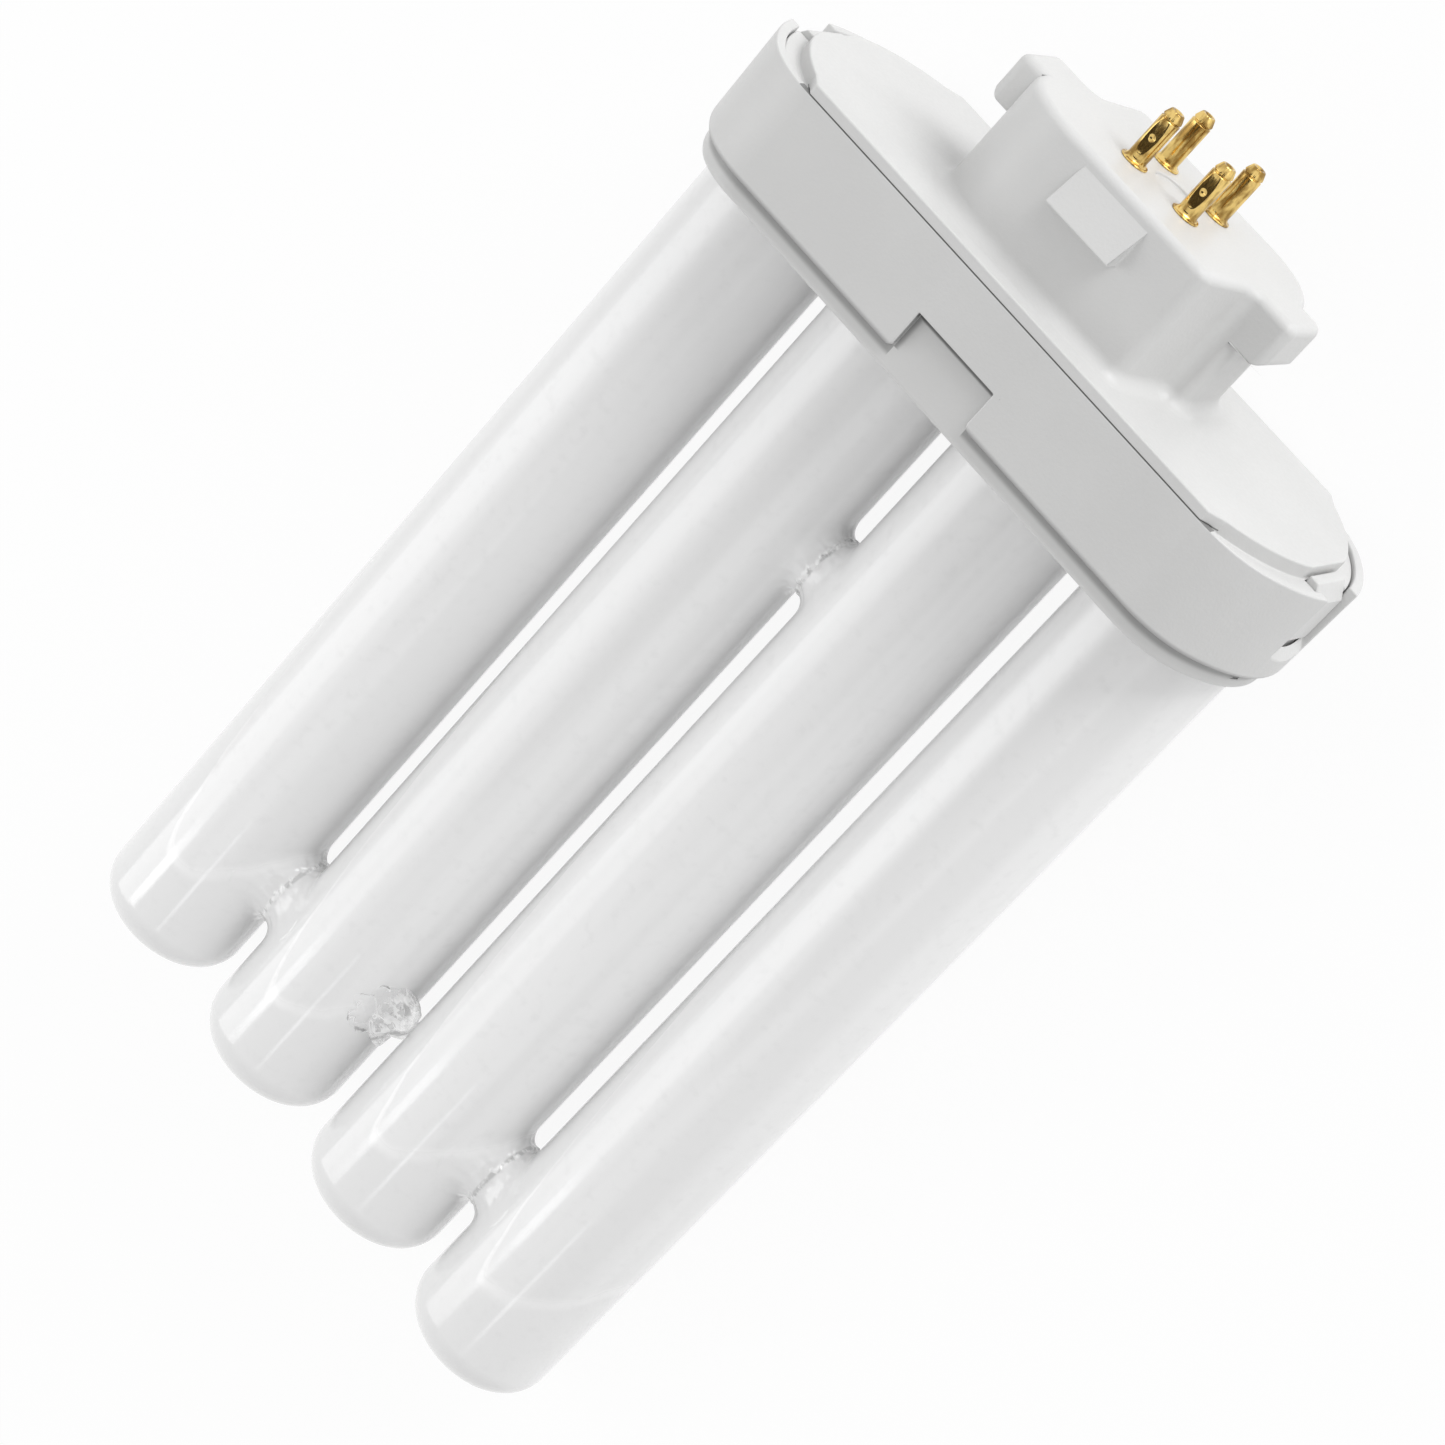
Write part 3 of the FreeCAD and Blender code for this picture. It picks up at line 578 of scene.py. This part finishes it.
def glue_material(sizes):
    """Clear set glue: a see-through film with a dark rim line, painted glints along its creases and
    a milky middle.
    """
    material, tree, shader = new_material("clear_glue", Roughness=0.07, IOR=1.46)
    vector = object_vector(tree)
    reach = vertex_value(tree, "reach")
    bridge = vertex_value(tree, "bridge")
    wander = noise_value(tree, vector, 260.0, 2.0)
    folds = noise_value(tree, vector, 480.0, 1.0)
    fine = noise_value(tree, vector, 1100.0, 3.0)
    to_ring = away_from(tree, calc(tree, "MULTIPLY_ADD", wander, 0.35, reach), 1.07)
    ring = product(
        tree, ramp_value(tree, to_ring, 0.015, 0.06, 1, 0), ramp_value(tree, folds, 0.36, 0.52))
    # painted glints: pale lines along the glue's creases
    crease_glint = product(
        tree, ramp_value(tree, away_from(tree, folds, 0.5), 0.008, 0.035, 1, 0),
        ramp_value(tree, wander, 0.40, 0.5))
    milk = product(tree, bridge, ramp_value(tree, fine, 0.45, 0.55, 0.4, 1))
    crack = product(
        tree, bridge, ramp_value(tree, away_from(tree, fine, 0.45), 0.008, 0.03, 1, 0))
    dark = largest(tree, product(tree, ring, 0.8), product(tree, crack, 0.3))
    pale = largest(tree, product(tree, crease_glint, 0.75), product(tree, milk, 0.8))
    alpha = largest(tree, pale, product(tree, dark, 0.75), 0.05)
    tree.links.new(alpha, shader.inputs["Alpha"])
    tone = mix_colour(tree, dark, sizes.glue, darker(sizes.glue, 0.3))
    tree.links.new(tone, shader.inputs["Base Color"])
    add_bump(tree, shader, fine, 0.2, 0.05 * MM)
    return material


def cement_material(sizes):
    """Dull poured cement."""
    material, tree, shader = new_material("cement", Roughness=0.85)
    grain = grain_value(tree, object_vector(tree), 700.0, 6.0)
    mask = ramp_value(tree, grain, 0.35, 0.65)
    tone = mix_colour(tree, mask, sizes.cement, darker(sizes.cement, 0.8))
    tree.links.new(tone, shader.inputs["Base Color"])
    add_bump(tree, shader, grain, 0.7, 0.2 * MM)
    return material


def wire_material(sizes):
    """Bare drawn wire."""
    material, tree, shader = new_material("lead_wire", Metallic=1.0)
    grain = grain_value(tree, object_vector(tree), 3000.0, 3.0)
    tone = mix_colour(tree, grain, sizes.wire, darker(sizes.wire, 0.75))
    tree.links.new(tone, shader.inputs["Base Color"])
    tree.links.new(ramp_value(tree, grain, 0.3, 0.7, 0.25, 0.4), shader.inputs["Roughness"])
    return material


def arc_points(centre, radius, start, stop, count):
    """Points (out, along) on an arc, angles in degrees from the outward direction."""
    points = []
    for i in range(count + 1):
        angle = math.radians(start + (stop - start) * i / count)
        points.append((centre[0] + radius * math.cos(angle), centre[1] + radius * math.sin(angle)))
    return points


def spin_profile(bm, points, centre, axis, steps):
    """Turns (out, along) points about an axis through centre; returns the new vertices."""
    out = Vector((1, 0, 0)) if axis == "Y" else Vector((0, 1, 0))
    along = Vector((0, 1, 0)) if axis == "Y" else Vector((1, 0, 0))
    before = set(bm.verts)
    verts = [bm.verts.new(Vector(centre) + out * a + along * b) for a, b in points]
    edges = [bm.edges.new(pair) for pair in zip(verts, verts[1:])]
    bmesh.ops.spin(
        bm, geom=verts + edges, cent=Vector(centre), axis=along, angle=math.tau,
        steps=steps, use_merge=True, use_duplicate=False)
    made = [v for v in bm.verts if v not in before]
    bmesh.ops.remove_doubles(bm, verts=made, dist=SAME_SPOT)
    return [v for v in bm.verts if v not in before]


def finish_piece(name, bm, material, replaced, sharp=40):
    """Makes the mesh an object that rides on the lamp in place of construction pieces."""
    bmesh.ops.recalc_face_normals(bm, faces=bm.faces[:])
    mesh = bpy.data.meshes.new(name)
    bm.to_mesh(mesh)
    bm.free()
    mesh.shade_smooth()
    mesh.set_sharp_from_angle(angle=math.radians(sharp))
    mesh.materials.append(material)
    piece = bpy.data.objects.new(name, mesh)
    bpy.context.scene.collection.objects.link(piece)
    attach(piece, BODY)
    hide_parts(*replaced)
    return piece


def tube_end(sizes, index):
    """Where the closed end of one tube lies."""
    return GLASS_LOW.y + (3 - index) * sizes.end_step


def tube_profile(sizes, far):
    """Outline of one tube from its closed outer end to its inner end."""
    near = GLASS_HIGH.y - sizes.stem_height
    flat = TUBE_RADIUS - sizes.end_rounding
    rings = 7
    points = []
    for i in range(rings):
        share = i / rings
        points.append((flat * share, far + sizes.end_swell * share ** 2))
    corner = (flat, far + sizes.end_swell + sizes.end_rounding)
    points += arc_points(corner, sizes.end_rounding, -90, 0, 14)
    inner = (TUBE_RADIUS - sizes.inner_rounding, near - sizes.inner_rounding)
    points += arc_points(inner, sizes.inner_rounding, 0, 90, 8)
    points.append((0, near))
    return points


def neck_point(sizes, waist, share, turn):
    """Point on a neck's skin, by its share of the way from the waist to the tube and its turn."""
    c, s = math.cos(turn), math.sin(turn)
    reach = waist + sizes.neck_flare * (0.55 + 0.45 * abs(s))
    root = math.sqrt(TUBE_RADIUS ** 2 - (reach * s) ** 2)
    start = Vector((0, waist * c, waist * s))
    stop = Vector((TUBE_PITCH / 2 - root, reach * c, reach * s))
    slope = Vector((reach * s * s / root, c, s)).normalized()
    handle = 0.4 * (stop - start).length
    if share > 1:
        return stop + Vector((WALL_SINK, 0, 0))
    second = start + Vector((handle, 0, 0))
    third = stop - slope * handle
    rest = 1 - share
    return (start * rest ** 3 + second * 3 * share * rest ** 2
            + third * 3 * share ** 2 * rest + stop * share ** 3)


def add_neck(bm, sizes, waist, x, y, seed):
    """Fused neck that runs smoothly into the two tubes beside it, with its jagged weld seam."""
    half = 24  # rows on each side of the seam, closer together near it
    rows = [math.copysign(abs(i / half) ** 1.4, i) for i in range(-half, half + 1)]
    points = [(1, -1.1)] + [(1, row) for row in rows] + [(1, 1.1)]  # the ends sink into the tubes
    made = spin_profile(bm, points, (0, 0, 0), "X", NECK_STEPS)
    for v in made:
        turn = math.atan2(v.co.z, v.co.y)
        side = math.copysign(1, v.co.x)
        share = abs(v.co.x)
        ring = Vector((math.cos(turn), math.sin(turn), seed))
        place = neck_point(sizes, waist, share, turn)
        jag = noise.noise(ring * 13) + 0.6 * noise.noise(ring * 31)
        lump = noise.noise(Vector((ring.x * 5, ring.y * 5, seed + 3 * v.co.x)))
        height = sizes.seam_height * (0.5 + jag) * math.exp(-(place.x / SEAM_WIDTH) ** 2)
        height += NECK_RIPPLE * lump * max(1 - share, 0)
        bend = SEAM_BEND * noise.noise(ring * 6) * max(1 - share, 0) ** 2
        v.co = Vector((side * place.x + bend, place.y, place.z))
        v.co += Vector((0, ring.x, ring.y)) * height
    bmesh.ops.translate(bm, verts=made, vec=(x, y, 0))


def cling(spot, lift):
    """The spot, or if it lies in a middle tube, the place that far off the tube's skin."""
    for axis in (TUBE_XS[1], TUBE_XS[2]):
        away = Vector((spot.x - axis, 0, spot.z))
        if away.length < TUBE_RADIUS + lift:
            return Vector((axis, spot.y, 0)) + away * ((TUBE_RADIUS + lift) / away.length)
    return spot


def add_stem(bm, x, sizes):
    """Pressed glass seal on the inner end of an outer tube."""
    made = bmesh.ops.create_cube(bm, size=1.0)["verts"]
    height = sizes.stem_height + STEM_SINK
    bmesh.ops.scale(bm, verts=made, vec=(STEM_SIZE[0], height, STEM_SIZE[1]))
    bmesh.ops.translate(bm, verts=made, vec=(x, GLASS_HIGH.y - height / 2, 0))


def fill_stage(sizes):
    """The floor, which the lamp touches with the skirt's lower edge and its tube ends."""
    rest_y = SKIRT_LOW.y + SKIRT_TOUCH[0]
    rest_z = SKIRT_LOW.z + SKIRT_TOUCH[1]
    end_y = GLASS_LOW.y + ENDS_TOUCH
    bm = bmesh.new()
    bmesh.ops.create_grid(bm, x_segments=1, y_segments=1, size=sizes.floor_size / 2)
    slope = math.atan((GLASS_LOW.z - rest_z) / (end_y - rest_y))
    turn = Matrix.Rotation(slope, 4, "X")
    bmesh.ops.transform(bm, verts=bm.verts[:], matrix=turn)
    bmesh.ops.translate(bm, verts=bm.verts[:], vec=(0, rest_y, rest_z))
    mesh = bpy.data.meshes.new("floor")
    bm.to_mesh(mesh)
    bm.free()
    floor = bpy.data.objects.new("floor", mesh)
    bpy.context.scene.collection.objects.link(floor)
    mesh.materials.append(floor_material(sizes))


def seen_ray(tree):
    """1 for rays from the camera and for what gloss and glass show, and 0 for light."""
    path = tree.nodes.new("ShaderNodeLightPath")
    kinds = ("Is Camera Ray", "Is Glossy Ray", "Is Transmission Ray")
    return largest(tree, *(path.outputs[kind] for kind in kinds))


def floor_material(sizes):
    """Pale floor that the camera sees as nearly white."""
    material, tree, shader = new_material(
        "pale_floor", Base_Color=(sizes.floor_tone,) * 3 + (1,), Roughness=0.9)
    glow = add_node(tree, "ShaderNodeEmission", Color=(1, 1, 1, 1), Strength=1.0)
    mix = tree.nodes.new("ShaderNodeMixShader")
    tree.links.new(calc(tree, "MULTIPLY", seen_ray(tree), FLOOR_WHITE), mix.inputs[0])
    tree.links.new(shader.outputs["BSDF"], mix.inputs[1])
    tree.links.new(glow.outputs["Emission"], mix.inputs[2])
    tree.links.new(mix.outputs[0], tree.nodes["Material Output"].inputs["Surface"])
    return material


def add_area_light(name, place, target, width, depth, power):
    """Soft light that looks at a point, its depth in line with the tubes."""
    light = bpy.data.lights.new(name, "AREA")
    light.shape = "RECTANGLE"
    light.size = width
    light.size_y = depth
    light.energy = power
    back = (Vector(place) - Vector(target)).normalized()
    up = (Vector((0, 1, 0)) - back * back.y).normalized()
    turn = Matrix((up.cross(back), up, back)).transposed().to_4x4()
    source = bpy.data.objects.new(name, light)
    source.matrix_world = Matrix.Translation(place) @ turn
    bpy.context.scene.collection.objects.link(source)


def add_dark_card(sizes):
    """Dark disc behind the camera that only polished surfaces mirror."""
    bm = bmesh.new()
    bmesh.ops.create_circle(bm, cap_ends=True, segments=48, radius=sizes.card_size)
    bmesh.ops.translate(bm, verts=bm.verts[:], vec=sizes.card_place)
    mesh = bpy.data.meshes.new("dark_card")
    bm.to_mesh(mesh)
    bm.free()
    dark = new_material("dark_card", Base_Color=(0.05, 0.04, 0.03, 1), Roughness=1.0)[0]
    mesh.materials.append(dark)
    card = bpy.data.objects.new("dark_card", mesh)
    bpy.context.scene.collection.objects.link(card)
    card.visible_camera = False
    card.visible_diffuse = False
    card.visible_shadow = False
    card.visible_transmission = False


def light_world(sizes):
    """Even light, and white where the camera, gloss and glass see past the floor."""
    world = bpy.data.worlds.new("studio")
    bpy.context.scene.world = world
    world.use_nodes = True
    tree = world.node_tree
    tree.nodes.clear()
    even = add_node(tree, "ShaderNodeBackground", Color=(1, 1, 1, 1), Strength=sizes.world_strength)
    white = add_node(tree, "ShaderNodeBackground", Color=(1, 1, 1, 1), Strength=1.0)
    mix = tree.nodes.new("ShaderNodeMixShader")
    tree.links.new(seen_ray(tree), mix.inputs[0])
    tree.links.new(even.outputs[0], mix.inputs[1])
    tree.links.new(white.outputs[0], mix.inputs[2])
    output = tree.nodes.new("ShaderNodeOutputWorld")
    tree.links.new(mix.outputs[0], output.inputs["Surface"])


class LAMP_OT_glass(bpy.types.Operator):
    """Makes the glass envelope: four tubes, three necks and two stems."""
    bl_idname = "lamp.glass"
    bl_label = "Glass tubes"

    def execute(self, context):
        sizes = context.scene.lamp_glass
        bm = bmesh.new()
        ends = [tube_end(sizes, i) for i in range(4)]
        for x, end in zip(TUBE_XS, ends):
            spin_profile(bm, tube_profile(sizes, end), (x, 0, 0), "Y", sizes.tube_steps)
        left_y = (ends[0] + ends[1]) / 2 + sizes.neck_far
        right_y = (ends[2] + ends[3]) / 2 + sizes.neck_far
        middle_y = SKIRT_HIGH.y - sizes.neck_near
        add_neck(bm, sizes, sizes.outer_neck_radius, -TUBE_PITCH, left_y, 1.3)
        add_neck(bm, sizes, sizes.outer_neck_radius, TUBE_PITCH, right_y, 2.6)
        add_neck(bm, sizes, sizes.middle_neck_radius, 0, middle_y, 4.1)
        for x in (TUBE_XS[0], TUBE_XS[3]):
            add_stem(bm, x, sizes)
        material = coated_glass_material(sizes)
        finish_piece("glass_envelope", bm, material, ["glass_tubes"])
        return {"FINISHED"}


class LAMP_OT_glue(bpy.types.Operator):
    """Makes the clear glue that bridges the gap between the two middle tubes and clings to them."""
    bl_idname = "lamp.glue"
    bl_label = "Clear glue"

    def execute(self, context):
        sizes = context.scene.lamp_glass
        low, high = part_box("glue_drop")
        centre = Vector((-sizes.glue_shift, (low.y + high.y) / 2, sizes.glue_height))
        bm = bmesh.new()
        reach = bm.verts.layers.float.new("reach")
        bridge = bm.verts.layers.float.new("bridge")
        made = bmesh.ops.create_icosphere(bm, subdivisions=6, radius=1.0)["verts"]
        for v in made:
            way = v.co.copy()
            outline = 1 + 0.35 * noise.noise(Vector((way.x, way.y, 0.4)) * 1.9)
            outline += 0.08 * noise.noise(way * 5)
            spot = centre + Vector(a * b for a, b in zip(way, sizes.glue_spread)) * outline
            v[reach] = math.hypot(way.x, way.y)
            v[bridge] = max(0, 1 - abs(spot.x) / GLUE_BRIDGE) ** 0.5
            v.co = cling(spot, GLUE_FILM * way.z)
        material = glue_material(sizes)
        lump = finish_piece("glue_lump", bm, material, ["glue_drop"], sharp=60)
        lump.visible_shadow = False
        return {"FINISHED"}


class LAMP_OT_cap(bpy.types.Operator):
    """Gives the cap's plastic pieces their rounded edges and finish."""
    bl_idname = "lamp.cap"
    bl_label = "Plastic cap"

    def execute(self, context):
        sizes = context.scene.lamp_cap
        material = plastic_material(sizes)
        for name in CAP_NODES:
            paint_node(name, material)
            round_edges(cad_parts[name], sizes.edge_rounding)
        return {"FINISHED"}


class LAMP_OT_inner(bpy.types.Operator):
    """Gives the cement and the leads inside the cap their finish."""
    bl_idname = "lamp.inner"
    bl_label = "Cement and leads"

    def execute(self, context):
        sizes = context.scene.lamp_cap
        paint_node("tube_cement", cement_material(sizes))
        wire = wire_material(sizes)
        for name in PIN_NAMES:
            paint_node("lead_wire_" + name, wire)
        return {"FINISHED"}


class LAMP_OT_pins(bpy.types.Operator):
    """Makes the four contact pins."""
    bl_idname = "lamp.pins"
    bl_label = "Contact pins"

    def execute(self, context):
        sizes = context.scene.lamp_pins
        material = brass_material(sizes)
        for name in PIN_NAMES:
            make_pin(sizes, "contact_pin_" + name, material)
        return {"FINISHED"}


class LAMP_OT_stage(bpy.types.Operator):
    """Sets up the floor, the lights and the camera."""
    bl_idname = "lamp.stage"
    bl_label = "Stage"

    def execute(self, context):
        sizes = context.scene.lamp_stage
        fill_stage(sizes)
        light_world(sizes)
        for name, place, target, width, depth in LIGHTS:
            add_area_light(name, place, target, width, depth, getattr(sizes, name + "_power"))
        add_dark_card(sizes)
        camera_data = bpy.data.cameras.new("camera")
        camera_data.lens = sizes.camera_lens
        camera_data.clip_start = 0.01
        camera = bpy.data.objects.new("camera", camera_data)
        camera.location = sizes.camera_place
        camera.rotation_euler = sizes.camera_turn
        context.scene.collection.objects.link(camera)
        context.scene.camera = camera
        context.scene.view_settings.view_transform = "Standard"
        return {"FINISHED"}


class LAMP_PT_panel(bpy.types.Panel):
    """Buttons that build the lamp."""
    bl_idname = "LAMP_PT_panel"
    bl_label = "Four pin lamp"
    bl_space_type = "VIEW_3D"
    bl_region_type = "UI"
    bl_category = "Lamp"

    def draw(self, context):
        for operator in OPERATORS:
            self.layout.operator(operator.bl_idname)


def paint_node(name, material):
    """Puts one material on a construction piece."""
    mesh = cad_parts[name].data
    mesh.materials.clear()
    mesh.materials.append(material)


def round_edges(piece, radius):
    """Modifiers that join loose triangles, round sharp edges and even the shading."""
    weld = piece.modifiers.new("weld", "WELD")
    weld.merge_threshold = SAME_SPOT
    flat = piece.modifiers.new("flat", "DECIMATE")
    flat.decimate_type = "DISSOLVE"
    flat.angle_limit = math.radians(0.5)
    bevel = piece.modifiers.new("edges", "BEVEL")
    bevel.width = radius
    bevel.segments = 3
    bevel.limit_method = "ANGLE"
    bevel.angle_limit = math.radians(40)
    bevel.use_clamp_overlap = False
    bevel.miter_outer = "MITER_ARC"
    shading = piece.modifiers.new("shading", "WEIGHTED_NORMAL")
    shading.keep_sharp = True


def pin_profile(sizes, low, high):
    """Outline of a pin from its tail in the block to its crimped tip."""
    shank = sizes.shank_radius
    waist = shank - 0.15 * MM
    edge = 0.12 * MM
    tail = low + 0.8 * MM
    crown = high - 1.15 * MM
    points = [(0, low), (FLANGE_RADIUS, low), (FLANGE_RADIUS, tail), (shank, tail)]
    points += [(shank, 0), (FLANGE_RADIUS - edge, 0)]
    points += arc_points((FLANGE_RADIUS - edge, edge), edge, -90, 90, 6)
    points += arc_points((FLANGE_RADIUS - 0.02 * MM, 0.76 * MM), 0.52 * MM, 262, 184, 8)
    rows = 64
    for i in range(rows + 1):
        points.append((shank, 1.0 * MM + (crown - 1.1 * MM) * i / rows))
    points += [(waist, crown + 0.02 * MM), (waist, crown + 0.1 * MM)]
    points += arc_points((shank - 0.16 * MM, crown + 0.24 * MM), 0.12 * MM, -70, 20, 5)
    points += [(shank - 0.12 * MM, crown + 0.5 * MM), (shank - 0.24 * MM, crown + 0.8 * MM)]
    points += arc_points((shank - 0.52 * MM, high - 0.2 * MM), 0.2 * MM, 20, 90, 6)
    points += [(0.5 * MM, high - 0.03 * MM), (0.42 * MM, high - 0.25 * MM), (0, high - 0.3 * MM)]
    return points


def make_pin(sizes, name, material):
    """One contact pin with its pressed flat, dimple and crimped crown, in place of its node."""
    low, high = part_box(name)
    x = (low.x + high.x) / 2
    z = (low.z + high.z) / 2
    side = 1 if z > 0 else -1
    flat_high = high.y - FLAT_STOP
    bm = bmesh.new()
    made = spin_profile(bm, pin_profile(sizes, low.y, high.y), (0, 0, 0), "Y", sizes.pin_steps)
    for v in made:
        share = (v.co.y - FLAT_START) / (flat_high - FLAT_START)
        if 0 < share < 1:
            limit = sizes.shank_radius - sizes.flat_depth * math.sin(math.pi * share) ** 0.5
            if side * v.co.z > limit:
                v.co.z = side * limit
                reach = math.hypot(v.co.x, v.co.y - DIMPLE_HEIGHT) / sizes.dimple_radius
                if reach < 1:
                    v.co.z -= side * sizes.dimple_depth * math.cos(reach * math.pi / 2)
        if v.co.y > high.y - CRIMP_HEIGHT:
            turn = math.atan2(v.co.z, v.co.x)
            pinch = 1 - CRIMP_DEPTH * max(math.cos(CRIMP_COUNT * turn), 0) ** 6
            v.co.x *= pinch
            v.co.z *= pinch
    bmesh.ops.translate(bm, verts=made, vec=(x, 0, z))
    finish_piece(name.replace("contact_pin", "pin"), bm, material, [name], sharp=50)


OPERATORS = [LAMP_OT_stage, LAMP_OT_glass, LAMP_OT_glue, LAMP_OT_cap, LAMP_OT_inner, LAMP_OT_pins]
GROUPS = {
    "lamp_glass": LampGlass,
    "lamp_cap": LampCap,
    "lamp_pins": LampPins,
    "lamp_stage": LampStage,
}


def register():
    """Makes the settings, the operators and the panel known."""
    for name, group in GROUPS.items():
        bpy.utils.register_class(group)
        setattr(bpy.types.Scene, name, PointerProperty(type=group))
    for operator in OPERATORS:
        bpy.utils.register_class(operator)
    bpy.utils.register_class(LAMP_PT_panel)


def unregister():
    """Takes them away again."""
    bpy.utils.unregister_class(LAMP_PT_panel)
    for operator in reversed(OPERATORS):
        bpy.utils.unregister_class(operator)
    for name, group in GROUPS.items():
        delattr(bpy.types.Scene, name)
        bpy.utils.unregister_class(group)


def main():
    """Builds the whole scene."""
    register()
    bpy.ops.lamp.stage()
    bpy.ops.lamp.glass()
    bpy.ops.lamp.glue()
    bpy.ops.lamp.cap()
    bpy.ops.lamp.inner()
    bpy.ops.lamp.pins()


if __name__ == "__main__":
    main()
